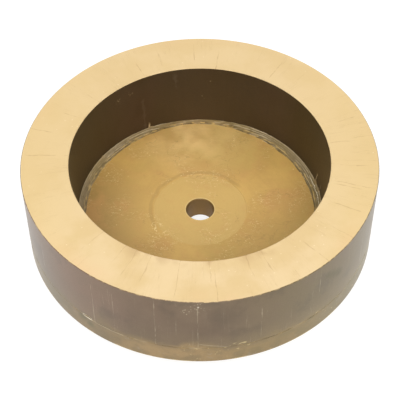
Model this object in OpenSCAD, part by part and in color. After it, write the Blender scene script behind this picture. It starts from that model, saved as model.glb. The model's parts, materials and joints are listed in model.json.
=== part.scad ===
// Cup-shaped diamond grinding wheel. A thick sintered bronze rim that holds
// the diamond is soldered onto a bored bronze backing plate.
// The plate's back face lies on z = 0, the wheel spins about Z, and the
// grinding face is the flat ring at the top.

/* [Wheel] */
// Outer diameter of the rim and the backing plate
wheel_d = 150; // [130:1:250]
// Width of the grinding face, from its inner edge to its outer edge
face_w = 20; // [8:0.5:30]
// How far the cup's wall comes in from the grinding face down to the joint
wall_taper = 1.8; // [0:0.1:3]

/* [Rim] */
// Height of the diamond layer, the part that grinds and wears
diamond_h = 28; // [5:0.5:60]
// Height of the diamond-free layer sintered under the diamond layer
base_layer_h = 2.8; // [1.5:0.1:8]
// Break along both edges of the grinding face
face_edge = 0.25; // [0.05:0.05:1]

/* [Joint] */
// Thickness of the solder between the rim and the plate
solder_t = 0.2; // [0.05:0.05:0.5]
// Width of the solder fillet on the cup's floor
fillet_w = 2.4; // [0.8:0.1:4]
// How far the fillet climbs up the rim's wall above the solder
fillet_climb = 0.3; // [0.1:0.1:1]
// Thickness of the fillet at its toe, where it runs out onto the floor
fillet_toe = 0.15; // [0.05:0.05:0.4]

/* [Backing plate] */
// Thickness of the plate under the rim
plate_t = 13; // [8:0.5:30]
// Depth of the cup's floor below the seat that the rim stands on
floor_depth = 2; // [0.5:0.1:4]
// Chamfer around the back of the plate
back_chamfer = 4; // [0.5:0.1:6]
// Diameter of the arbor bore
bore_d = 12; // [6:0.1:32]
// Break at both ends of the bore
bore_edge = 0.3; // [0.1:0.1:1]
// Diameter of the spot-faced seat for the clamping flange, around the bore
flange_seat_d = 41; // [36:0.5:55]
// Depth of that seat below the cup's floor
flange_seat_depth = 0.15; // [0.05:0.05:1]

/* [Hidden] */

$fn = 180;

wheel_r = wheel_d / 2;
bore_r = bore_d / 2;
flange_seat_r = flange_seat_d / 2;
face_r = wheel_r - face_w;
joint_r = face_r - wall_taper;

floor_z = plate_t - floor_depth;
flange_seat_z = floor_z - flange_seat_depth;
solder_z = plate_t + solder_t;
diamond_z = solder_z + base_layer_h;
face_z = diamond_z + diamond_h;

// Radius of the cup's tapered wall at a height above the plate's seat
function wall_r(z) = joint_r + wall_taper * (z - plate_t) / (face_z - plate_t);

// Diamond layer, with its edges broken around the grinding face
module diamond_rim() {
    color([0.90, 0.78, 0.55])
    rotate_extrude()
    polygon([
        [wall_r(diamond_z), diamond_z],
        [wheel_r, diamond_z],
        [wheel_r, face_z - face_edge],
        [wheel_r - face_edge, face_z],
        [face_r + face_edge, face_z],
        [wall_r(face_z - face_edge), face_z - face_edge]
    ]);
}

// Layer without diamond that takes the solder
module rim_base_layer() {
    color([0.55, 0.47, 0.38])
    rotate_extrude()
    polygon([
        [wall_r(solder_z), solder_z],
        [wheel_r, solder_z],
        [wheel_r, diamond_z],
        [wall_r(diamond_z), diamond_z]
    ]);
}

// Film of solder between the rim and the seat on the plate
module solder_joint() {
    color([0.72, 0.70, 0.62])
    rotate_extrude()
    polygon([
        [joint_r, plate_t],
        [wheel_r, plate_t],
        [wheel_r, solder_z],
        [wall_r(solder_z), solder_z]
    ]);
}

// Solder squeezed out inside the cup and turned back to a cone. It fills the
// step between the floor and the seat, and covers the joint's inner edge.
module solder_fillet() {
    top_z = solder_z + fillet_climb;
    color([0.52, 0.50, 0.45])
    rotate_extrude()
    polygon([
        [joint_r - fillet_w, floor_z],
        [joint_r, floor_z],
        [joint_r, plate_t],
        [wall_r(top_z), top_z],
        [joint_r - fillet_w, floor_z + fillet_toe]
    ]);
}

// Plate with the arbor bore, the flange's seat around it, the cup's floor and
// the raised seat that the rim stands on
module backing_plate() {
    color([0.78, 0.66, 0.40])
    rotate_extrude()
    polygon([
        [bore_r, bore_edge],
        [bore_r + bore_edge, 0],
        [wheel_r - back_chamfer, 0],
        [wheel_r, back_chamfer],
        [wheel_r, plate_t],
        [joint_r, plate_t],
        [joint_r, floor_z],
        [flange_seat_r, floor_z],
        [flange_seat_r, flange_seat_z],
        [bore_r + bore_edge, flange_seat_z],
        [bore_r, flange_seat_z - bore_edge]
    ]);
}

diamond_rim();
rim_base_layer();
solder_joint();
solder_fillet();
backing_plate();
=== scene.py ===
"""Looks of the cup-shaped diamond grinding wheel, built around its CAD frame.

Every piece is turned about Z from the corners of its CAD node, in metres, and then given the
nicks, waves and tool marks of the real one. The grinding face looks up, at the rim's top.
"""
import json
import math

import bpy
import numpy as np
from mathutils import Matrix, Vector


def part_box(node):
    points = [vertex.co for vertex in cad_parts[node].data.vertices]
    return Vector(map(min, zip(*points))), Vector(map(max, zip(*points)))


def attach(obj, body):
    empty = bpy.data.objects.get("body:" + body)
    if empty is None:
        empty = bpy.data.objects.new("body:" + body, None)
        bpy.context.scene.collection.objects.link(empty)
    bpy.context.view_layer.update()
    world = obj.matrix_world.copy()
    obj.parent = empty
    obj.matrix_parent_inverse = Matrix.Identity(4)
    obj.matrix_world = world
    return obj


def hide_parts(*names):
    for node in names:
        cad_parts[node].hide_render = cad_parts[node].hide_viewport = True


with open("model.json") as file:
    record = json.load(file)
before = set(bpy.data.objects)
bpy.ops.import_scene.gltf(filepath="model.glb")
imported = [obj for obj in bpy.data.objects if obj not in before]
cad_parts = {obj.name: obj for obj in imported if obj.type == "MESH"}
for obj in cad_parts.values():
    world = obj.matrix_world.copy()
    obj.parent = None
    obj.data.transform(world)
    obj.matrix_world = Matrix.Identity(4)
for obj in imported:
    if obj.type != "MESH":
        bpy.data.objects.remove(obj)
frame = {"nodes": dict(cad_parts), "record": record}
bpy.context.view_layer.update()

MM = 0.001

# Segments of each turned mesh, and the first seed of the random draws.
SEGMENTS = 1080
SEED = 7

# ---------------------------------------------------------------- the frame's own sizes


def radii(node, height):
    """Smallest and largest radius of a CAD node's corners at one height."""
    corners = [v.co for v in frame["nodes"][node].data.vertices]
    level = [math.hypot(c.x, c.y) for c in corners if abs(c.z - height) < 0.01 * MM]
    return min(level), max(level)


def mount(name):
    """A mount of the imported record, by name."""
    return next(m for m in frame["record"]["mounts"] if m["name"] == name)


WHEEL_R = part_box("diamond_rim")[1].x
DIAMOND_Z, FACE_Z = (corner.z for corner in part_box("diamond_rim"))
SOLDER_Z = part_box("solder_joint")[1].z
PLATE_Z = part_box("solder_joint")[0].z
FLOOR_Z, FILLET_Z = (corner.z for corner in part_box("solder_fillet"))
SEAT_Z = mount("flange_seat")["pos_m"][2]
BORE_R = mount("bore")["dims"]["r_mm"] * MM

FACE_IN, FACE_OUT = radii("diamond_rim", FACE_Z)
FACE_EDGE = WHEEL_R - FACE_OUT
WALL_TOP_R = FACE_IN - FACE_EDGE
JOINT_R = radii("solder_joint", PLATE_Z)[0]
FILLET_IN = radii("solder_fillet", FLOOR_Z)[0]
SEAT_R = radii("backing_plate", SEAT_Z)[1]
BACK_IN, BACK_OUT = radii("backing_plate", 0.0)
CHAMFER = WHEEL_R - BACK_OUT
BORE_EDGE = BACK_IN - BORE_R

# Breaks of the bore's lower edge, and of the edges on both sides of the seam.
BURR = 0.05 * MM
SEAM_EDGE = 0.03 * MM

# Beside the grinding face's edges the rim's mesh is finer, out to this distance.
EDGE_ZONE = 1.2 * MM
EDGE_STEP = 0.3 * MM

# Step of the meshes across an edge's small break.
BREAK_STEP = 0.08 * MM

# Azimuth in degrees of the chip in the seam's edge.
CHIP_TURN = -128


def wall_r(z):
    """Radius of the cup's tapered wall at a height."""
    return JOINT_R + (WALL_TOP_R - JOINT_R) * (z - PLATE_Z) / (FACE_Z - PLATE_Z)


# ---------------------------------------------------------------- turned meshes


def waves(azimuth, first, last, seed):
    """A smooth random curve round the wheel, about -1 to 1, from whole numbers of waves a turn."""
    rng = np.random.default_rng(seed)
    counts = np.arange(first, last + 1)
    sizes = rng.uniform(0.4, 1.0, counts.size)
    phases = rng.uniform(0, 2 * math.pi, counts.size)
    total = sum(s * np.cos(k * azimuth + p) for k, s, p in zip(counts, sizes, phases))
    return total / math.sqrt(np.sum(sizes**2) / 2) / 2


def outline(*stretches):
    """Points of a closed outline. Each stretch is (corner, step, slot): it runs from its corner to
    the next one in steps of about that length, and its faces take that material slot."""
    points, slots = [], []
    for (corner, step, slot), (end, _, _) in zip(stretches, stretches[1:] + stretches[:1]):
        length = math.dist(corner, end)
        count = max(1, round(length / step))
        for i in range(count):
            points.append([a + (b - a) * i / count for a, b in zip(corner, end)])
            slots.append(slot)
    return np.array(points), np.array(slots)


def turned(name, shape, relief=None):
    """A mesh turned about Z from an outline, anticlockwise in radius and height. relief takes the
    azimuth, radius and height of every point and returns how far radius and height change."""
    points, slots = shape
    azimuth = np.linspace(0, 2 * math.pi, SEGMENTS, endpoint=False)[:, None]
    radius = np.tile(points[:, 0], (SEGMENTS, 1))
    height = np.tile(points[:, 1], (SEGMENTS, 1))
    if relief:
        out, up = relief(azimuth, radius, height)
        radius, height = radius + out, height + up
    coords = np.stack([radius * np.cos(azimuth), radius * np.sin(azimuth), height], axis=-1)

    rows, columns = radius.shape
    index = np.arange(rows * columns).reshape(rows, columns)
    ahead, above = np.roll(index, -1, axis=0), np.roll(index, -1, axis=1)
    quads = np.stack([index, ahead, np.roll(ahead, -1, axis=1), above], axis=-1).reshape(-1, 4)

    mesh = bpy.data.meshes.new(name)
    mesh.vertices.add(rows * columns)
    mesh.vertices.foreach_set("co", coords.ravel())
    mesh.loops.add(quads.size)
    mesh.loops.foreach_set("vertex_index", quads.ravel())
    mesh.polygons.add(len(quads))
    mesh.polygons.foreach_set("loop_start", np.arange(0, quads.size, 4))
    mesh.update(calc_edges=True)
    mesh.polygons.foreach_set("material_index", np.tile(slots, rows))
    mesh.polygons.foreach_set("use_smooth", np.ones(len(quads), bool))
    mesh.validate()
    mesh.set_sharp_from_angle(angle=math.radians(40))
    piece = bpy.data.objects.new(name, mesh)
    bpy.context.scene.collection.objects.link(piece)
    return piece


def fit(piece, node, slot, *materials):
    """The piece stands for its CAD node, rides on the wheel and wears these materials."""
    for material in materials:
        piece.data.materials.append(material)
    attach(piece, "root")
    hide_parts(node)
    return piece


# ---------------------------------------------------------------- nicks in the rim's edges

# Azimuths in degrees of the larger nicks in the inner and outer edges of the grinding face.
INNER_NICKS = (-116, -109, -98, -86, -71, -65, -15, 45, 58, 131)
OUTER_NICKS = (-138, -30, 12, 78, 160)


def away(azimuth, centre):
    """Angle between each azimuth and a centre, both in radians."""
    return np.abs((azimuth - centre + math.pi) % (2 * math.pi) - math.pi)


def hump(azimuth, centre, half):
    """1 at the centre, falling to 0 at half a width from it; all three are in radians."""
    return np.clip(1 - (away(azimuth, centre) / half) ** 2, 0, 1)


def nicks(azimuth, places, count, width, depth, seed):
    """Depth of an edge's nicks round the wheel: the larger ones at their places, and a count of
    small ones. The width is in radians."""
    rng = np.random.default_rng(seed)
    large = [(math.radians(place), 0.6 * width, depth) for place in places]
    small = [(rng.uniform(-math.pi, math.pi), width * rng.uniform(0.3, 1.2),
              depth * rng.uniform(0.2, 0.8) ** 2) for _ in range(count)]
    total = np.zeros_like(azimuth)
    for centre, half, deep in large + small:
        total = np.maximum(total, deep * hump(azimuth, centre, half))
    return total


def near(distance, reach):
    """1 at no distance, falling smoothly to 0 at the reach."""
    return np.clip(1 - distance / reach, 0, 1) ** 2


def bump_at(azimuth, height, centre, level, half_angle, half_height):
    """A smooth bump on the wall, 1 at its centre; the azimuth of the centre is in degrees."""
    turn = away(azimuth, math.radians(centre)) / math.radians(half_angle)
    rise = (height - level) / half_height
    return np.clip(1 - turn**2 - rise**2, 0, 1)


def rim_relief(azimuth, radius, height):
    """Nicks along both edges of the grinding face."""
    reach = 0.6 * MM
    outer = nicks(azimuth, OUTER_NICKS, count=14, width=0.006, depth=0.12 * MM, seed=SEED)
    inner = nicks(azimuth, INNER_NICKS, count=50, width=0.010, depth=0.35 * MM, seed=SEED + 1)
    at_outer = near(np.hypot(radius - WHEEL_R, height - FACE_Z), reach) * outer
    at_inner = near(np.hypot(radius - WALL_TOP_R, height - FACE_Z), reach) * inner
    return at_inner - at_outer, -(at_inner + at_outer)


# ---------------------------------------------------------------- colours, linear

FACE_LIGHT = (0.690, 0.52, 0.285)
FACE_DARK = (0.635, 0.462, 0.225)
FACE_BLUSH = (0.71, 0.45, 0.24)
FACE_GRIT = (0.50, 0.37, 0.19)
FACE_HAIR = (0.40, 0.24, 0.10)
FACE_SPECK = (0.92, 0.80, 0.54)
FACE_YELLOW = (0.66, 0.485, 0.205)
SKIN_LIGHT = (0.183, 0.123, 0.070)
SKIN_DARK = (0.142, 0.091, 0.049)
SKIN_DEEP = (0.080, 0.055, 0.028)
SKIN_PINK = (0.234, 0.138, 0.085)
SKIN_OLIVE = (0.188, 0.142, 0.056)
SKIN_LOW = (0.245, 0.178, 0.080)
SKIN_FOOT = (0.190, 0.150, 0.042)
SKIN_BRIGHT = (0.50, 0.42, 0.28)
SKIN_CHIP = (0.92, 0.85, 0.68)
SKIN_SOIL = (0.13, 0.105, 0.035)
SKIN_OVAL = (0.082, 0.062, 0.006)
CUP_LIGHT = (0.143, 0.104, 0.074)
CUP_DARK = (0.113, 0.081, 0.054)
CUP_OLIVE = (0.116, 0.100, 0.048)
CUP_DEEP = (0.065, 0.047, 0.030)
CUP_SMEAR = (0.38, 0.36, 0.32)
PLATE_LIGHT = (0.68, 0.42, 0.115)
PLATE_DARK = (0.54, 0.32, 0.085)
PLATE_DEEP = (0.36, 0.22, 0.06)
PLATE_RUST = (0.60, 0.31, 0.10)
PLATE_OLIVE = (0.52, 0.38, 0.09)
PLATE_SEAT = (0.635, 0.42, 0.129)
# Colour of the light painted on the back of the cup's floor.
PLATE_PAINTED_LIGHT = (1.0, 0.68, 0.28)
PLATE_FLECK = (0.92, 0.74, 0.36)
# Colour of the shade painted in the bore.
PLATE_BORE_SHADE = (0.195, 0.098, 0.010)
EDGE_GOLD = (0.41, 0.265, 0.105)
EDGE_GREY = (0.33, 0.27, 0.20)
EDGE_DARK = (0.20, 0.145, 0.080)
SOLDER_GREY = (0.255, 0.187, 0.098)
SOLDER_BROWN = (0.24, 0.168, 0.065)
SOLDER_BRIGHT = (0.80, 0.66, 0.42)
SOLDER_DARK = (0.165, 0.12, 0.045)
SOLDER_DEEP = (0.09, 0.06, 0.02)
SOLDER_RUN = (1.0, 0.90, 0.66)

# ---------------------------------------------------------------- materials


class Shader:
    """A Principled material, and short calls that add its nodes."""

    def __init__(self, name, **sockets):
        """The material with some sockets set, and the place in the coordinates that nodes use."""
        self.material = bpy.data.materials.new(name)
        self.material.use_nodes = True
        self.tree = self.material.node_tree
        self.surface = self.tree.nodes["Principled BSDF"]
        for socket, value in sockets.items():
            self.surface.inputs[socket.replace("_", " ")].default_value = value
        self.position = self.add("ShaderNodeTexCoord").outputs["Object"]
        self.x, self.y, self.z = self.split(self.position)
        squares = self.do("ADD", self.product(self.x, self.x), self.product(self.y, self.y))
        self.radius = self.do("SQRT", squares)
        self.cos = self.do("DIVIDE", self.x, self.radius)
        self.sin = self.do("DIVIDE", self.y, self.radius)
        self.azimuth = self.product(self.do("ARCTAN2", self.y, self.x), 180 / math.pi)

    def add(self, kind, **settings):
        """A new node with some of its settings."""
        node = self.tree.nodes.new(kind)
        for key, value in settings.items():
            setattr(node, key, value)
        return node

    def put(self, socket, value):
        """Links a socket to another, or sets it to a value."""
        if isinstance(value, bpy.types.NodeSocket):
            self.tree.links.new(value, socket)
        else:
            socket.default_value = value

    def do(self, operation, *values):
        """The result of a maths node."""
        node = self.add("ShaderNodeMath", operation=operation)
        for socket, value in zip(node.inputs, values):
            self.put(socket, value)
        return node.outputs[0]

    def product(self, *masks):
        """The product of several masks or values."""
        out, *others = masks
        for other in others:
            out = self.do("MULTIPLY", out, other)
        return out

    def split(self, vector):
        """The three coordinates of a vector."""
        node = self.add("ShaderNodeSeparateXYZ")
        self.put(node.inputs[0], vector)
        return node.outputs

    def vector(self, x, y, z):
        """A vector from three coordinates."""
        node = self.add("ShaderNodeCombineXYZ")
        for socket, value in zip(node.inputs, (x, y, z)):
            self.put(socket, value)
        return node.outputs[0]

    def noise(self, vector, scale, detail=3.0, roughness=0.55):
        """A noise, mostly between 0.3 and 0.7."""
        node = self.add("ShaderNodeTexNoise")
        self.put(node.inputs["Vector"], vector)
        node.inputs["Scale"].default_value = scale
        node.inputs["Detail"].default_value = detail
        node.inputs["Roughness"].default_value = roughness
        return node.outputs["Fac"]

    def cells(self, vector, scale):
        """Distance to the nearest of many scattered points."""
        node = self.add("ShaderNodeTexVoronoi")
        self.put(node.inputs["Vector"], vector)
        node.inputs["Scale"].default_value = scale
        return node.outputs["Distance"]

    def step(self, value, low, high):
        """0 below low, 1 above high, smooth between; low may be the higher one."""
        node = self.add("ShaderNodeMapRange", interpolation_type="SMOOTHSTEP")
        for socket, given in zip(node.inputs, (value, low, high, 0.0, 1.0)):
            self.put(socket, given)
        return node.outputs[0]

    def patches(self, scale, detail, low, high):
        """Random patches: a noise of the place, stepped between low and high."""
        return self.step(self.noise(self.position, scale, detail), low, high)

    def dots(self, scale, rim, core):
        """Scattered dots: 0 beyond the rim's distance from their points, 1 within the core's."""
        return self.step(self.cells(self.position, scale), rim, core)

    def band(self, value, low, high, soft):
        """1 between low and high, 0 outside, with soft ends."""
        return self.product(self.step(value, low - soft, low), self.step(value, high + soft, high))

    def mix(self, share, first, second):
        """A blend of two colours, each a socket or three numbers."""
        node = self.add("ShaderNodeMix", data_type="RGBA")
        colours = [s for s in node.inputs if s.type == "RGBA"]
        self.put(node.inputs[0], share)
        self.put(colours[0], first if isinstance(first, bpy.types.NodeSocket) else (*first, 1.0))
        self.put(colours[1], second if isinstance(second, bpy.types.NodeSocket) else (*second, 1.0))
        return next(s for s in node.outputs if s.type == "RGBA")

    def layers(self, colour, *steps):
        """Lays (strength, mask, colour) steps over a first colour."""
        for strength, mask, over in steps:
            colour = self.mix(self.product(mask, strength), colour, over)
        return colour

    def total(self, *terms):
        """Sum of (share, value) pairs."""
        out = 0.0
        for share, value in terms:
            out = self.do("MULTIPLY_ADD", value, share, out)
        return out

    def most(self, masks):
        """The strongest of several masks."""
        out = 0.0
        for mask in masks:
            out = self.do("MAXIMUM", mask, out)
        return out

    def rays(self, turns, along, stretch, detail=3.0, roughness=0.55):
        """A noise in lines that run along the radius or the height. More turns bring the lines
        closer together, and a higher stretch makes them shorter."""
        place = self.vector(self.product(self.cos, turns), self.product(self.sin, turns),
                            self.product(along, stretch))
        return self.noise(place, 1.0, detail, roughness)

    def rings(self, turns, across=0.0, stretch=0.0, detail=3.0):
        """A noise in lines that run round the wheel. More turns make the lines shorter, and a
        higher stretch brings them closer together."""
        place = self.vector(self.product(across, stretch), self.product(self.cos, turns),
                            self.product(self.sin, turns))
        return self.noise(place, 1.0, detail)

    def uneven(self, value, size, scale, detail=3.0):
        """A value raised by a noise, by about half the size on average."""
        return self.do("MULTIPLY_ADD", self.noise(self.position, scale, detail), size, value)

    def hairs(self, noise, width):
        """Thin lines where a noise crosses its middle."""
        return self.step(self.do("ABSOLUTE", self.do("SUBTRACT", noise, 0.5)), width, 0.0)

    def lines(self, along, rows, width, wander):
        """Lines drawn one by one, each (azimuth, start, end). A line runs along the radius or the
        height from its start to its end; azimuth, width and wander are in degrees."""
        wobble = self.do("SUBTRACT", self.noise(self.position, 110, 3), 0.5)
        turn = self.do("MULTIPLY_ADD", wobble, wander, self.azimuth)
        thick = self.patches(300, 2, 0.35, 0.75)
        reach = self.total((2 * width, thick), (0.4, width))
        masks = []
        for azimuth, start, end in rows:
            across = self.step(self.do("ABSOLUTE", self.do("SUBTRACT", turn, azimuth)), reach, 0.0)
            masks.append(self.product(across, self.band(along, start, end, 3 * MM)))
        return self.product(self.most(masks), self.patches(190, 3, 0.33, 0.53))

    def stroke(self, start, end, width):
        """A line on the outer wall from one (azimuth, height) to another, a little wavy."""
        slope = (end[1] - start[1]) / (end[0] - start[0])
        level = self.total((slope, self.azimuth), (1.2 * MM, self.noise(self.position, 90, 2)),
                           (1.0, start[1] - slope * start[0] - 0.6 * MM))
        off = self.do("ABSOLUTE", self.do("SUBTRACT", self.z, level))
        span = self.band(self.azimuth, start[0], end[0], 1.0)
        return self.product(self.step(off, width, 0.2 * width), span)

    def spot(self, azimuth, radius, height, size):
        """1 at a place on the wheel, falling to 0 at the spot's size; the azimuth is in degrees."""
        turn = math.radians(azimuth)
        node = self.add("ShaderNodeVectorMath", operation="DISTANCE")
        self.put(node.inputs[0], self.position)
        node.inputs[1].default_value = (radius * math.cos(turn), radius * math.sin(turn), height)
        return self.step(node.outputs["Value"], size, 0.0)

    def wall_spots(self, *rows, inside=False):
        """The strongest of several spots on the outer wall, or on the wall inside the cup. Each is
        (azimuth, mm below the face, size in mm)."""
        masks = []
        for azimuth, low, size in rows:
            level = FACE_Z - low * MM
            masks.append(self.spot(azimuth, wall_r(level) if inside else WHEEL_R, level, size * MM))
        return self.most(masks)

    def finish(self, colour, roughness, height, depth):
        """Connects the colour, roughness and bump; depth is the height's size in metres."""
        self.put(self.surface.inputs["Base Color"], colour)
        self.put(self.surface.inputs["Roughness"], roughness)
        bump = self.add("ShaderNodeBump")
        bump.inputs["Strength"].default_value = 1.0
        bump.inputs["Distance"].default_value = depth
        self.put(bump.inputs["Height"], height)
        self.put(self.surface.inputs["Normal"], bump.outputs[0])
        return self.material


def across_face(share):
    """Radius at a share of the grinding face's width, 0 at the inside and 1 at the outside."""
    return WALL_TOP_R + share * (WHEEL_R - WALL_TOP_R)


# Hairlines in the grinding face: azimuth in degrees, then the shares of the width they run between.
FACE_LINES = (
    (-134, 0.0, 0.5), (-122, 0.0, 0.4), (-116.5, 0.0, 0.6), (-110, 0.1, 0.6), (-98, 0.0, 0.8),
    (-86.5, 0.0, 0.4), (-85, 0.3, 1.0), (-71.5, 0.0, 0.5), (-65, 0.1, 0.5), (-48, 0.4, 1.0),
    (-36, 0.5, 1.0), (-25, 0.3, 0.8), (-15.5, 0.0, 0.6), (-14, 0.0, 1.0), (-4.5, 0.0, 0.7),
    (-2, 0.0, 0.9), (8, 0.1, 0.5), (9.5, 0.6, 1.0), (19, 0.5, 1.0), (57, 0.2, 0.8),
    (82, 0.0, 0.5), (92, 0.3, 0.7), (106, 0.3, 0.6), (116, 0.0, 0.4), (142, 0.0, 0.3),
    (155, 0.1, 0.4), (166, 0.6, 1.0), (178, 0.1, 0.8),
)

# Dark marks along the face's inner edge, by its larger nicks: azimuth in degrees, then the share of
# the face's width that they reach across.
FACE_NICK_MARKS = (
    (-117, 0.40), (-111, 0.30), (-106, 0.30), (-98, 0.25), (-86, 0.20), (-79, 0.25), (-72, 0.35),
    (-64, 0.40),
)

# Scratches in the outer wall: azimuth in degrees, then the depths in mm below the face.
WALL_LINES = (
    (-125, 8, 31), (-117.5, 7, 30), (-104, 2, 29), (-97.5, 14, 20), (-91, 5, 32), (-71.5, 11, 26),
    (-51, 4, 15), (-28, 12, 25), (4, 3, 24), (31, 9, 30), (47, 5, 14), (63, 16, 31), (88, 4, 27),
    (104, 12, 30), (127, 2, 12), (149, 8, 29), (163, 15, 28), (-149, 10, 22),
)

# Marks on the outer wall, each as azimuth in degrees, then mm below the face, and size in mm: a dark
# oval, bright flecks near the face, a bright dot among them, and a dark shade.
WALL_OVAL = ((-47.5, 9.2, 3.4), (-45.8, 10.6, 4.2), (-44.1, 12.0, 4.4), (-42.6, 13.4, 3.8))
WALL_FLECKS = ((-94, 5, 5), (-90, 3.5, 5))
WALL_DOT = (-90.8, 3.1, 0.6)
WALL_SHADE = (-84, 13, 16)


def ground_bronze():
    """Pale gold, ground flat, with fine radial hairlines and the diamond's grain, and painted shade
    towards the back.
    """
    s = Shader("ground_bronze", Metallic=0.1)
    patches = s.noise(s.position, 45, 4)
    blush = s.patches(30, 3, 0.50, 0.70)
    outward = s.step(s.radius, across_face(0.55), WHEEL_R)
    yellow = s.step(s.do("ABSOLUTE", s.x), 35 * MM, 75 * MM)
    # Painted shade: the face is darkened towards its back, +Y.
    behind = s.step(s.y, -60 * MM, 10 * MM)
    grain = s.noise(s.position, 2600, 2)
    grit = s.dots(900, 0.16, 0.05)
    glints = s.product(s.dots(380, 0.12, 0.05), s.patches(40, 2, 0.48, 0.60))
    fine = s.hairs(s.rays(60, s.radius, 25, 3, 0.6), 0.012)
    fade = s.step(s.rays(9, s.radius, 60, 2), 0.45, 0.60)
    fine = s.product(fine, fade)
    rows = [(turn, across_face(first), across_face(last)) for turn, first, last in FACE_LINES]
    hair = s.lines(s.radius, rows, 0.20, 1.8)
    nick_marks = s.most(s.spot(turn, WALL_TOP_R, FACE_Z, reach * (WHEEL_R - WALL_TOP_R))
                    for turn, reach in FACE_NICK_MARKS)
    nick_marks = s.product(nick_marks, s.patches(150, 3, 0.38, 0.62))
    colour = s.layers(
        s.mix(s.step(patches, 0.38, 0.62), FACE_LIGHT, FACE_DARK),
        (0.40, s.product(blush, outward), FACE_BLUSH),
        (0.50, yellow, FACE_YELLOW),
        (0.50, behind, FACE_DARK),
        (0.10, grain, FACE_GRIT),
        (0.22, grit, FACE_GRIT),
        (0.40, glints, FACE_SPECK),
        (0.28, fine, FACE_HAIR),
        (0.46, hair, FACE_HAIR),
        (0.40, nick_marks, FACE_HAIR),
    )
    rough = s.total((0.12, patches), (0.10, grain), (0.54, 1.0))
    height = s.total((0.5, grain), (-0.4, fine), (-0.5, hair), (-0.4, grit))
    return s.finish(colour, rough, height, 0.04 * MM)


# Sockets of the skin on the outer wall and on the plate's edge.
SKIN_GLOSS = {"Metallic": 0.8, "Coat_Weight": 1.0, "Coat_Roughness": 0.4, "Coat_IOR": 1.25}


def seam_marks(s):
    """The bright scrape, the bright chip and the soil beside it, on both sides of the seam."""
    scrape = s.stroke((-127, SOLDER_Z - 0.1 * MM), (-115, SOLDER_Z - 0.2 * MM), 0.45 * MM)
    chip = s.stroke((-129.3, SOLDER_Z + 0.1 * MM), (-126.8, SOLDER_Z), 0.8 * MM)
    soil = s.most([s.spot(-130, WHEEL_R, PLATE_Z - 1.5 * MM, 4.5 * MM),
                   s.spot(-127, WHEEL_R, PLATE_Z - 3.5 * MM, 3.5 * MM)])
    return scrape, chip, soil


def seam_line(s):
    """Where the seam shows as a thin line, and bright dashes beside it."""
    seam = s.band(s.uneven(s.z, 1.0 * MM, 260), PLATE_Z + 0.3 * MM, SOLDER_Z + 0.7 * MM, 0.4 * MM)
    dashes = s.step(s.rings(22, s.z, 650), 0.60, 0.68)
    near_seam = s.band(s.z, PLATE_Z - 1.5 * MM, SOLDER_Z + 1.5 * MM, 1.2 * MM)
    return seam, s.product(dashes, near_seam, s.patches(45, 3, 0.44, 0.58))


def skin_colour(s):
    """Brown-grey skin of the outer wall, pinkish on one side and olive on the other. It is gilded in
    patches at its foot, where the plate shows through, and the seam is a broken line."""
    tone = s.patches(28, 4, 0.35, 0.65)
    cloud = s.noise(s.position, 60, 5, 0.65)
    pink = s.product(s.patches(17, 2, 0.36, 0.56), s.step(s.x, 10 * MM, -60 * MM))
    olive = s.product(s.patches(21, 3, 0.38, 0.58), s.step(s.x, 0.0, 50 * MM))
    level = s.uneven(s.z, 16 * MM, 75, 4)
    low = s.step(level, SOLDER_Z + 21 * MM, SOLDER_Z + 6 * MM)
    foot = s.step(level, SOLDER_Z + 12 * MM, SOLDER_Z + 6 * MM)
    patches = s.patches(50, 3, 0.45, 0.65)
    tarnish = s.total((0.45, 1.0), (0.55, s.patches(150, 4, 0.36, 0.62)))
    right = s.step(s.x, -10 * MM, 45 * MM)
    front = s.most([s.band(s.azimuth, -106, -60, 22), s.product(patches, 0.30)])
    front = s.product(front, tarnish)
    seam, dashes = seam_line(s)
    broken = s.noise(s.position, 55, 3)
    return s.layers(
        s.mix(tone, SKIN_DARK, SKIN_LIGHT),
        (0.75, pink, SKIN_PINK),
        (0.75, olive, SKIN_OLIVE),
        (0.40, s.step(cloud, 0.50, 0.68), SKIN_LIGHT),
        (0.35, s.step(cloud, 0.48, 0.34), SKIN_DEEP),
        (0.90, s.product(low, s.total((0.35, 1.0), (0.65, right))), SKIN_LOW),
        (0.35, foot, SKIN_FOOT),
        (0.80, s.product(foot, front), EDGE_GOLD),
        (0.45, s.product(foot, right), SKIN_FOOT),
        (0.40, dashes, PLATE_FLECK),
        (0.24, s.product(seam, s.step(broken, 0.50, 0.60)), SKIN_DEEP),
        (0.25, s.product(seam, s.step(broken, 0.48, 0.40)), SKIN_BRIGHT),
    )


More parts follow.
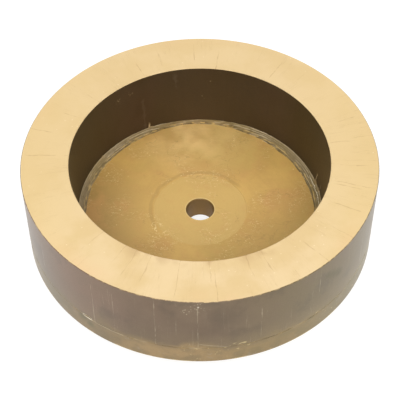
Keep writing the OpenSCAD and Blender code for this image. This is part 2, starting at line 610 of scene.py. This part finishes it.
def outer_skin():
    """Dull brown-grey skin left by the mould, with upright scratches and pits."""
    s = Shader("outer_skin", **SKIN_GLOSS)
    tone = s.noise(s.position, 28, 4)
    grain = s.noise(s.position, 1900, 3)
    streaks = s.rays(55, s.z, 12, 3, 0.6)
    fade = s.step(s.rays(14, s.z, 45, 2), 0.52, 0.62)
    fine = s.product(s.hairs(streaks, 0.006), fade)
    rows = [(turn, FACE_Z - low * MM, FACE_Z - high * MM) for turn, high, low in WALL_LINES]
    scratches = s.lines(s.z, rows, 0.15, 0.5)
    slash = s.stroke((-90, FACE_Z - 28.3 * MM), (-79, SOLDER_Z - 0.5 * MM), 0.30 * MM)
    pits = s.dots(420, 0.10, 0.03)
    flecked = s.step(s.wall_spots(*WALL_FLECKS), 0.1, 0.6)
    flecks = s.product(s.dots(1050, 0.36, 0.20), flecked, s.patches(420, 2, 0.38, 0.50))
    dot = s.wall_spots(WALL_DOT)
    oval = s.wall_spots(*WALL_OVAL)
    shade = s.product(s.wall_spots(WALL_SHADE), s.patches(90, 4, 0.35, 0.60))
    scrape, chip, soil = seam_marks(s)
    lip = s.uneven(s.z, 1.4 * MM, 500)
    worn = s.step(lip, FACE_Z + 0.5 * MM, FACE_Z + 0.8 * MM)
    colour = s.layers(
        skin_colour(s),
        (0.25, grain, SKIN_DEEP),
        (0.30, s.step(streaks, 0.55, 0.75), SKIN_LIGHT),
        (0.35, shade, SKIN_DEEP),
        (0.62, oval, SKIN_OVAL),
        (0.70, soil, SKIN_SOIL),
        (0.30, fine, SKIN_BRIGHT),
        (0.33, scratches, SKIN_BRIGHT),
        (0.35, slash, SKIN_BRIGHT),
        (0.70, scrape, SKIN_BRIGHT),
        (0.95, chip, SKIN_CHIP),
        (0.60, flecks, SKIN_BRIGHT),
        (0.65, dot, SKIN_CHIP),
        (0.50, pits, SKIN_DEEP),
        (0.50, worn, FACE_DARK),
    )
    rough = s.total((0.18, tone), (0.12, grain), (-0.10, scratches), (0.36, 1.0))
    height = s.total((0.35, grain), (0.5, streaks), (-0.6, scratches), (-0.6, pits))
    return s.finish(colour, rough, height, 0.05 * MM)


# Thin runs of solder up the cup's wall: azimuth in degrees, and how far they climb in mm.
RUNS = ((14, 3.5), (7, 2.5), (115.5, 0.7))

# Bright specks inside the cup: azimuth in degrees, then mm below the face, and size in mm.
CUP_SPECKS = ((131, 7, 2.2), (124, 6, 2.0), (85, 7.5, 1.2), (73, 12.5, 1.0), (88, 17, 1.6))


def cup_skin():
    """Dark brown skin inside the cup, with faint upright streaks, a few specks, and painted shade at
    the back.
    """
    s = Shader("cup_skin", Metallic=0.95)
    tone = s.noise(s.position, 30, 3)
    hue = s.most([s.product(s.patches(24, 2, 0.42, 0.62), 0.6),
                  s.step(s.do("ABSOLUTE", s.x), 26 * MM, 50 * MM)])
    grain = s.noise(s.position, 1500, 3)
    streaks = s.rays(40, s.z, 10, 3, 0.6)
    smears = ((118, PLATE_Z, FACE_Z - 14 * MM), (101, FACE_Z - 9 * MM, FACE_Z - 4 * MM))
    smear = s.lines(s.z, smears, 1.3, 1.5)
    specks = s.product(s.wall_spots(*CUP_SPECKS, inside=True), s.dots(900, 0.45, 0.2))
    runs = s.lines(s.z, [(turn, FILLET_Z, FILLET_Z + tall * MM) for turn, tall in RUNS], 0.6, 4.0)
    lip = s.uneven(s.z, 1.6 * MM, 600)
    worn = s.step(lip, FACE_Z + 0.6 * MM, FACE_Z + 0.9 * MM)
    colour = s.layers(
        s.mix(s.step(tone, 0.35, 0.65), CUP_DARK, CUP_LIGHT),
        (0.60, hue, CUP_OLIVE),
        (0.25, s.step(streaks, 0.50, 0.75), CUP_LIGHT),
        # Painted shade: the back of the cup's wall is darkened.
        (0.25, s.step(s.y, 35 * MM, 60 * MM), CUP_DEEP),
        (0.20, grain, CUP_DEEP),
        (0.10, smear, CUP_SMEAR),
        (0.45, specks, SKIN_BRIGHT),
        (0.90, runs, SOLDER_RUN),
        (0.60, worn, FACE_DARK),
    )
    rough = s.total((0.18, tone), (0.12, grain), (0.38, 1.0))
    return s.finish(colour, rough, s.total((0.35, grain), (0.5, streaks)), 0.05 * MM)


def seat_marks(s, inside):
    """The lighter seat that the flange covered, and a darker ring beside its back half."""
    soft = s.uneven(s.radius, 2.4 * MM, 130)
    edge = SEAT_R + 1.2 * MM
    seat = s.step(soft, edge + 0.5 * MM, edge - 0.5 * MM)
    ring = s.band(soft, edge + 0.9 * MM, edge + 1.6 * MM, 0.9 * MM)
    behind = s.uneven(s.total((1.0, s.y), (-0.6, s.x)), 16 * MM, 70)
    return s.product(seat, inside), s.product(ring, inside, s.step(behind, 4 * MM, 16 * MM))


def seat_flecks(s, inside):
    """Bright flecks where the seat meets the floor, on one side."""
    place = s.product(s.band(s.radius, SEAT_R - 1.5 * MM, SEAT_R + 2.5 * MM, 1 * MM),
                      s.spot(-142, SEAT_R, FLOOR_Z, 13 * MM))
    curls = s.hairs(s.noise(s.position, 330, 2), 0.030)
    return s.product(curls, s.patches(420, 2, 0.46, 0.54), place, inside)


def back_marks(s):
    """Rings that the lathe cut in the plate's back, and scuffs across them."""
    under = s.step(s.z, 0.5 * FLOOR_Z, 0.3 * FLOOR_Z)
    cuts = s.step(s.rings(1.2, s.radius, 800), 0.46, 0.66)
    scuffs = s.hairs(s.noise(s.position, 40, 4), 0.006)
    return s.product(cuts, under), s.product(scuffs, under)


def brushed(s, squeeze, scale, width):
    """Thin lines drawn out along X, the more so the more Y is squeezed."""
    return s.hairs(s.noise(s.vector(s.x, s.product(s.y, squeeze), s.z), scale, 3), width)


def plate_bronze():
    """Golden bronze with the marks of the lathe, tarnish, and a lighter seat for the flange. Painted
    light brightens the back of the cup's floor, and painted shade darkens its left side and the bore.
    """
    s = Shader("plate_bronze", Metallic=0.15)
    turning = s.rings(3, s.radius, 1500, 2)
    mottle = s.noise(s.position, 38, 5, 0.6)
    rust = s.patches(55, 4, 0.50, 0.68)
    olive = s.patches(27, 3, 0.50, 0.66)
    stain = s.patches(170, 4, 0.50, 0.64)
    grain = s.noise(s.position, 1500, 3)
    inside = s.step(s.z, 0.6 * FLOOR_Z, 0.8 * FLOOR_Z)
    seat, ring = seat_marks(s, inside)
    flecks = seat_flecks(s, inside)
    cuts, scuffs = back_marks(s)
    # Painted light: a pool of light painted on the back of the cup's floor.
    painted_light_back = s.product(s.spot(90, 50 * MM, FLOOR_Z, 40 * MM), s.patches(48, 3, 0.15, 0.60))
    shaded = s.product(s.step(s.x, -12 * MM, -46 * MM), s.step(s.y, 32 * MM, 6 * MM), inside)
    hair = s.product(brushed(s, 1.6, 70, 0.010), s.patches(60, 2, 0.46, 0.60))
    nap = s.product(brushed(s, 2.5, 260, 0.012), s.patches(75, 3, 0.48, 0.62))
    specks = s.product(s.dots(430, 0.17, 0.06), s.patches(80, 2, 0.50, 0.62))
    # Lighter rings: round the bore they are wear with a painted highlight on its edge; along the
    # back's outer edge they are wear.
    worn = s.most([s.step(s.radius, BORE_R + 0.9 * MM, BORE_R + 0.4 * MM),
                   s.step(s.radius, BACK_OUT - 0.5 * MM, BACK_OUT)])
    # Painted shade: the bore's wall and its edges are painted dark, as the hole's shade.
    deep = s.step(s.radius, BORE_R + 0.38 * MM, BORE_R + 0.22 * MM)
    colour = s.layers(
        s.mix(s.step(mottle, 0.35, 0.68), PLATE_LIGHT, PLATE_DARK),
        (0.95, painted_light_back, PLATE_PAINTED_LIGHT),
        (0.75, shaded, PLATE_DEEP),
        (0.60, rust, PLATE_RUST),
        (0.36, olive, PLATE_OLIVE),
        (0.75, seat, PLATE_SEAT),
        (0.34, ring, PLATE_DEEP),
        (0.18, turning, PLATE_DEEP),
        (0.18, stain, PLATE_RUST),
        (0.18, grain, PLATE_DEEP),
        (0.42, hair, PLATE_DEEP),
        (0.50, nap, PLATE_FLECK),
        (0.45, cuts, PLATE_DEEP),
        (0.45, scuffs, PLATE_FLECK),
        (0.48, specks, PLATE_FLECK),
        (0.85, flecks, PLATE_FLECK),
        (0.35, worn, PLATE_FLECK),
        (0.95, deep, PLATE_BORE_SHADE),
    )
    rough = s.total((0.22, mottle), (0.10, grain), (-0.06, seat), (0.36, 1.0))
    height = s.total((0.5, turning), (0.3, grain), (-0.4, hair), (0.5, flecks), (-0.7, cuts),
                     (-0.5, scuffs))
    return s.finish(colour, rough, height, 0.03 * MM)


def plate_edge():
    """Edge of the plate under the same skin, ringed by the lathe and smeared with solder."""
    s = Shader("plate_edge", **SKIN_GLOSS)
    tone = s.noise(s.position, 34, 4)
    gold = s.patches(60, 4, 0.46, 0.64)
    grain = s.noise(s.position, 1700, 3)
    rings = s.rings(4, s.z, 900)
    smear = s.step(s.rings(14, s.z, 260), 0.60, 0.72)
    flecks = s.patches(700, 3, 0.62, 0.72)
    flecks = s.product(flecks, s.patches(45, 2, 0.50, 0.62))
    scrape, chip, soil = seam_marks(s)
    edge = s.uneven(s.z, 0.8 * MM, 400)
    corner = s.band(edge, CHAMFER, CHAMFER + 0.7 * MM, 0.3 * MM)
    corner = s.product(corner, s.patches(65, 3, 0.42, 0.60))
    colour = s.layers(
        skin_colour(s),
        (0.12, gold, EDGE_GOLD),
        (0.25, rings, EDGE_DARK),
        (0.20, grain, SKIN_DEEP),
        (0.35, smear, EDGE_GREY),
        (0.80, soil, SKIN_SOIL),
        (0.30, flecks, PLATE_FLECK),
        (0.70, scrape, SKIN_BRIGHT),
        (0.95, chip, SKIN_CHIP),
        (0.40, corner, PLATE_FLECK),
    )
    rough = s.total((0.20, tone), (0.10, grain), (0.36, 1.0))
    return s.finish(colour, rough, s.total((0.4, rings), (0.3, grain), (0.4, smear)), 0.05 * MM)


def tool_lines(s):
    """Bright broken lines round the solder from the turning tool, stronger at some azimuths."""
    pitch = 0.75 * MM
    phase = s.total((2 * math.pi / pitch, s.radius), (9.0, s.rings(6)),
                    (8.0, s.rings(2, s.radius, 450, 2)))
    broken = s.step(s.rings(10, s.radius, 500), 0.42, 0.58)
    ruled = s.most([s.band(s.azimuth, 112, 142, 10), s.band(s.azimuth, 52, 72, 12),
                    s.band(s.azimuth, 6, 22, 6), 0.25])
    return s.product(s.step(s.do("SINE", phase), 0.55, 1.0), broken, ruled)


def ragged_toe(s, share, lower):
    """Flakes of golden bronze at the fillet's toe, and the dark broken line at its end."""
    ragged = s.total((1.0, share), (0.5, s.rings(14)))
    flakes = s.step(s.rings(13, s.radius, 1500), 0.48, 0.60)
    gold = s.product(lower, flakes, s.step(ragged, 0.80, 1.05))
    dark = s.product(s.band(ragged, 1.15, 1.23, 0.05), s.step(s.rings(9, detail=2), 0.40, 0.55))
    return gold, dark


def turned_solder():
    """Grey-brown solder in the cup's corner: smooth above, and lined by the turning tool below."""
    s = Shader("turned_solder", Metallic=0.5)
    share = s.step(s.z, FILLET_Z, FLOOR_Z)
    lower = s.step(share, 0.25, 0.60)
    bright = tool_lines(s)
    cuts = s.rings(9, s.radius, 1900)
    blotch = s.rings(18, s.radius, 200, 4)
    hue = s.patches(30, 2, 0.42, 0.60)
    gold, dark = ragged_toe(s, share, lower)
    # Darker towards +X, on the fillet's right side.
    darker_right = s.step(s.x, 20 * MM, 46 * MM)
    wavy = s.total((1.0, share), (0.5, s.rings(24)))
    streak = s.product(s.band(wavy, 0.50, 0.54, 0.05), s.band(s.azimuth, 2, 17, 4))
    top = s.step(s.z, FILLET_Z - 0.5 * MM, FILLET_Z)
    colour = s.layers(
        s.mix(hue, SOLDER_GREY, SOLDER_BROWN),
        (0.40, s.step(blotch, 0.46, 0.66), SOLDER_DARK),
        (0.50, s.product(lower, s.step(cuts, 0.50, 0.66)), SOLDER_DEEP),
        (0.20, s.step(cuts, 0.46, 0.34), SOLDER_BRIGHT),
        (0.45, darker_right, SOLDER_DARK),
        (0.60, bright, SOLDER_BRIGHT),
        (0.55, gold, PLATE_SEAT),
        (0.50, dark, SOLDER_DEEP),
        (0.65, streak, SOLDER_RUN),
        (0.25, top, SOLDER_BRIGHT),
    )
    rough = s.total((0.20, blotch), (0.34, 1.0))
    return s.finish(colour, rough, s.total((0.7, bright), (0.4, cuts)), 0.10 * MM)


def seam_solder():
    """Dull solder at the seam, bright where it was scraped."""
    s = Shader("seam_solder", Metallic=0.7)
    blotch = s.noise(s.position, 240, 4)
    scraped = s.most([s.spot(CHIP_TURN, WHEEL_R, PLATE_Z, 3 * MM), s.patches(70, 3, 0.60, 0.70)])
    colour = s.layers(
        skin_colour(s),
        (0.30, s.step(blotch, 0.45, 0.60), SKIN_DEEP),
        (0.50, scraped, SKIN_BRIGHT),
    )
    return s.finish(colour, s.total((0.25, blotch), (0.30, 1.0)), blotch, 0.10 * MM)


# ---------------------------------------------------------------- pieces


def diamond_rim():
    """Ring with the ground face, and the mould's skin on both walls."""
    face, outer, inner = 0, 1, 2
    shape = outline(
        ((wall_r(DIAMOND_Z), DIAMOND_Z), 5 * MM, outer),
        ((WHEEL_R, DIAMOND_Z), 1.2 * MM, outer),
        ((WHEEL_R, FACE_Z - EDGE_ZONE), EDGE_STEP, outer),
        ((WHEEL_R, FACE_Z - FACE_EDGE), BREAK_STEP, outer),
        ((FACE_OUT, FACE_Z), EDGE_STEP, face),
        ((FACE_OUT - EDGE_ZONE, FACE_Z), 1.0 * MM, face),
        ((FACE_IN + EDGE_ZONE, FACE_Z), EDGE_STEP, face),
        ((FACE_IN, FACE_Z), BREAK_STEP, face),
        ((wall_r(FACE_Z - FACE_EDGE), FACE_Z - FACE_EDGE), EDGE_STEP, inner),
        ((wall_r(FACE_Z - EDGE_ZONE), FACE_Z - EDGE_ZONE), 1.4 * MM, inner),
    )
    piece = turned("diamond_rim_detail", shape, rim_relief)
    return fit(piece, "diamond_rim", "diamond_bronze", GROUND, SKIN, CUP)


def rim_base_layer():
    """Diamond-free layer, with a slightly uneven lower edge at the joint."""
    shape = outline(
        ((wall_r(SOLDER_Z), SOLDER_Z), 3 * MM, 0),
        ((WHEEL_R - SEAM_EDGE, SOLDER_Z), BREAK_STEP, 0),
        ((WHEEL_R, SOLDER_Z + SEAM_EDGE), 0.4 * MM, 0),
        ((WHEEL_R, DIAMOND_Z), 5 * MM, 0),
        ((wall_r(DIAMOND_Z), DIAMOND_Z), 0.5 * MM, 1),
    )

    def relief(azimuth, radius, height):
        """The lower edge worn unevenly, and one chip in it."""
        edge = near(np.hypot(radius - WHEEL_R, height - SOLDER_Z), 0.5 * MM)
        worn = edge * 0.03 * MM * (1 + waves(azimuth, 8, 70, SEED + 2))
        chip = 0.35 * MM * bump_at(azimuth, height, CHIP_TURN, SOLDER_Z, 1.6, 1.0 * MM)
        return -worn - chip * (radius > WHEEL_R - 1 * MM), worn

    return fit(turned("rim_base_detail", shape, relief), "rim_base_layer", "base_bronze", SKIN, CUP)


def solder_joint():
    """Film of solder, whose outer edge stands proud or falls short round the seam."""
    middle = (PLATE_Z + SOLDER_Z) / 2
    shape = outline(
        ((JOINT_R, PLATE_Z), 5 * MM, 0),
        ((WHEEL_R - SEAM_EDGE, PLATE_Z), 0.15 * MM, 0),
        ((WHEEL_R, middle), 0.15 * MM, 0),
        ((WHEEL_R - SEAM_EDGE, SOLDER_Z), 5 * MM, 0),
        ((wall_r(SOLDER_Z), SOLDER_Z), 0.1 * MM, 0),
    )

    def relief(azimuth, radius, height):
        """The film's outer edge, in and out by a little."""
        edge = near(WHEEL_R - radius, 0.5 * MM)
        proud = 0.06 * MM * waves(azimuth, 5, 90, SEED + 3)
        return edge * proud, np.zeros_like(radius)

    return fit(turned("solder_joint_detail", shape, relief), "solder_joint", "solder", SEAM)


# The ends of the fillet's cone, as radius and height.
FILLET_TOP = (wall_r(FILLET_Z), FILLET_Z)
FILLET_TOE = (FILLET_IN, FLOOR_Z + 0.15 * MM)

# The tool's ridges in the cone: the distance between them, and their height.
RIDGE_PITCH = 0.55 * MM
RIDGE_HEIGHT = 0.03 * MM

# How far the fillet's toe stands out from its CAD radius: azimuth in degrees, and mm, where a value
# below 0 is nearer the axis.
TOE_SHIFT = (
    (20, -0.9), (45, -0.8), (70, 0.5), (80, 1.4), (100, 1.6), (114, 0.6), (140, -0.5), (170, -0.8),
    (270, 0.0), (345, -0.6),
)

# Solder that ran up the cup's wall: azimuth in degrees, height, and half width in radians.
SPATTER = ((14, 2.6 * MM, 0.025), (9, 1.6 * MM, 0.02), (115, 0.7 * MM, 0.03), (146, 0.5 * MM, 0.015))


def toe_shift(azimuth, radius, height):
    """How far the cone moves out so that its toe follows TOE_SHIFT and is ragged."""
    (_, top), (toe_r, toe) = FILLET_TOP, FILLET_TOE
    share = np.clip((top - height) / (top - toe), 0, 1) * (radius < JOINT_R - 0.1 * MM)
    places, shifts = zip(*TOE_SHIFT)
    wide = share * MM * np.interp(np.degrees(azimuth), places, shifts, period=360)
    ragged = near(np.hypot(radius - toe_r, height - toe), 0.5 * MM) * 0.25 * MM
    return wide + ragged * waves(azimuth, 9, 40, SEED + 5)


def climb(azimuth):
    """How far the cone's upper edge climbs the cup's wall: it waves, is lower at the back, and
    runs up at the spatter."""
    total = 0.12 * MM * waves(azimuth, 12, 90, SEED + 6)
    total = total - 0.4 * MM * hump(azimuth, math.pi / 2, 0.55)
    for place, tall, half in SPATTER:
        total = total + tall * hump(azimuth, math.radians(place), half)
    return total


def fillet_relief(azimuth, radius, height):
    """Ridges in the cone, its ragged toe, and its upper edge on the cup's wall."""
    slope = np.array(FILLET_TOE) - np.array(FILLET_TOP)
    length = np.linalg.norm(slope)
    along, normal = slope / length, np.array([slope[1], -slope[0]]) / length
    right, up = radius - FILLET_TOP[0], height - FILLET_TOP[1]
    travel = right * along[0] + up * along[1]
    depth = right * normal[0] + up * normal[1]
    on_cone = (np.abs(depth) < 0.02 * MM) * np.clip(travel / (0.3 * MM), 0, 1)
    on_cone = on_cone * np.clip((length - travel) / (0.3 * MM), 0, 1)
    ridges = np.cos(2 * math.pi * travel / RIDGE_PITCH + 0.6 * waves(azimuth, 1, 6, SEED + 4))
    lift = on_cone * (RIDGE_HEIGHT * ridges - 0.04 * MM)
    edge = near(np.hypot(right, up), 0.6 * MM)
    rise = climb(azimuth)
    taper = (WALL_TOP_R - JOINT_R) / (FACE_Z - PLATE_Z)
    thick = -0.12 * edge * np.maximum(rise, 0)
    out = lift * normal[0] + toe_shift(azimuth, radius, height) + edge * rise * taper + thick
    return out, lift * normal[1] + edge * rise


def solder_fillet():
    """Cone of solder in the cup's corner, ridged by the tool, with a ragged toe."""
    shape = outline(
        ((FILLET_IN, FLOOR_Z), 0.5 * MM, 0),
        ((JOINT_R, FLOOR_Z), 1.0 * MM, 0),
        ((JOINT_R, PLATE_Z), 0.3 * MM, 0),
        (FILLET_TOP, 0.09 * MM, 0),
        (FILLET_TOE, 0.15 * MM, 0),
    )
    piece = turned("solder_fillet_detail", shape, fillet_relief)
    return fit(piece, "solder_fillet", "fillet_solder", TURNED)


def backing_plate():
    """Plate with the bore, the flange's seat, the cup's floor, the rim's seat and the chamfer."""
    shape = outline(
        ((BORE_R, BURR), 0.1 * MM, 0),
        ((BORE_R + BURR, 0.0), 3 * MM, 0),
        ((BACK_OUT, 0.0), 2 * MM, 1),
        ((WHEEL_R, CHAMFER), 3 * MM, 1),
        ((WHEEL_R, PLATE_Z - SEAM_EDGE), BREAK_STEP, 1),
        ((WHEEL_R - SEAM_EDGE, PLATE_Z), 4 * MM, 0),
        ((JOINT_R, PLATE_Z), 1 * MM, 0),
        ((JOINT_R, FLOOR_Z), 3 * MM, 0),
        ((SEAT_R, FLOOR_Z), 0.1 * MM, 0),
        ((SEAT_R - 0.1 * MM, SEAT_Z), 3 * MM, 0),
        ((BACK_IN, SEAT_Z), 0.1 * MM, 0),
        ((BORE_R, SEAT_Z - BORE_EDGE), 3 * MM, 0),
    )
    return fit(turned("backing_plate_detail", shape), "backing_plate", "plate_bronze", PLATE, EDGE)


GROUND = ground_bronze()
SKIN = outer_skin()
CUP = cup_skin()
PLATE = plate_bronze()
EDGE = plate_edge()
TURNED = turned_solder()
SEAM = seam_solder()

diamond_rim()
rim_base_layer()
solder_joint()
solder_fillet()
backing_plate()

# ---------------------------------------------------------------- floor, light and camera

WHITE = (1.0, 1.0, 1.0, 1.0)
FLOOR_GREY = (0.28, 0.28, 0.28, 1.0)

# The softboxes: name, place and size in metres, and power in watts.
LIGHTS = (
    ("overhead", (0.0, 0.35, 1.0), 1.0, 2.5),
    ("front", (0.0, -0.95, 0.95), 0.8, 11.0),
    ("left", (-1.0, 0.1, 0.5), 0.8, 3.0),
    ("right", (1.0, 0.1, 0.5), 0.8, 3.0),
)


def pale_floor():
    """A large plain floor, a hair above the wheel's back so that the two faces don't coincide."""
    half, level = 3.0, 0.02 * MM
    mesh = bpy.data.meshes.new("floor")
    corners = [(-half, -half, level), (half, -half, level), (half, half, level), (-half, half, level)]
    mesh.from_pydata(corners, [], [(0, 1, 2, 3)])
    floor = bpy.data.objects.new("floor", mesh)
    bpy.context.scene.collection.objects.link(floor)
    looks = Shader("pale_floor", Base_Color=FLOOR_GREY, Roughness=0.6, Emission_Color=WHITE,
                   Emission_Strength=0.78)
    mesh.materials.append(looks.material)


def softbox(name, place, size, power):
    """A square area light aimed at the wheel's middle."""
    light = bpy.data.lights.new(name, "AREA")
    light.size, light.energy = size, power
    lamp = bpy.data.objects.new(name, light)
    lamp.location = place
    aim = Vector((0, 0, FACE_Z / 2)) - lamp.location
    lamp.rotation_euler = aim.to_track_quat("-Z", "Y").to_euler()
    bpy.context.scene.collection.objects.link(lamp)


def studio():
    """Soft light from above, the front and both sides, and from a pale surround."""
    world = bpy.data.worlds.new("surround")
    world.use_nodes = True
    background = world.node_tree.nodes["Background"]
    background.inputs["Color"].default_value = WHITE
    background.inputs["Strength"].default_value = 0.64
    bpy.context.scene.world = world
    for light in LIGHTS:
        softbox(*light)
    bpy.context.scene.view_settings.view_transform = "Standard"


def camera():
    """Camera in front of the wheel, above it, aimed a little below the face's centre."""
    elevation, tilt, roll = math.radians(47.0), math.radians(2.0), math.radians(0.5)
    distance = 6.775 * WHEEL_R
    data = bpy.data.cameras.new("camera")
    data.sensor_width, data.lens = 36.0, 109.0
    data.clip_start, data.clip_end = 0.01, 20.0
    eye = bpy.data.objects.new("camera", data)
    place = Vector((0, -math.cos(elevation), math.sin(elevation))) * distance
    look = Matrix.Rotation(math.pi / 2 - elevation - tilt, 4, "X") @ Matrix.Rotation(-roll, 4, "Z")
    eye.matrix_world = Matrix.Translation(place + Vector((0, 0, FACE_Z))) @ look
    bpy.context.scene.collection.objects.link(eye)
    bpy.context.scene.camera = eye


pale_floor()
studio()
camera()

bpy.context.view_layer.update()
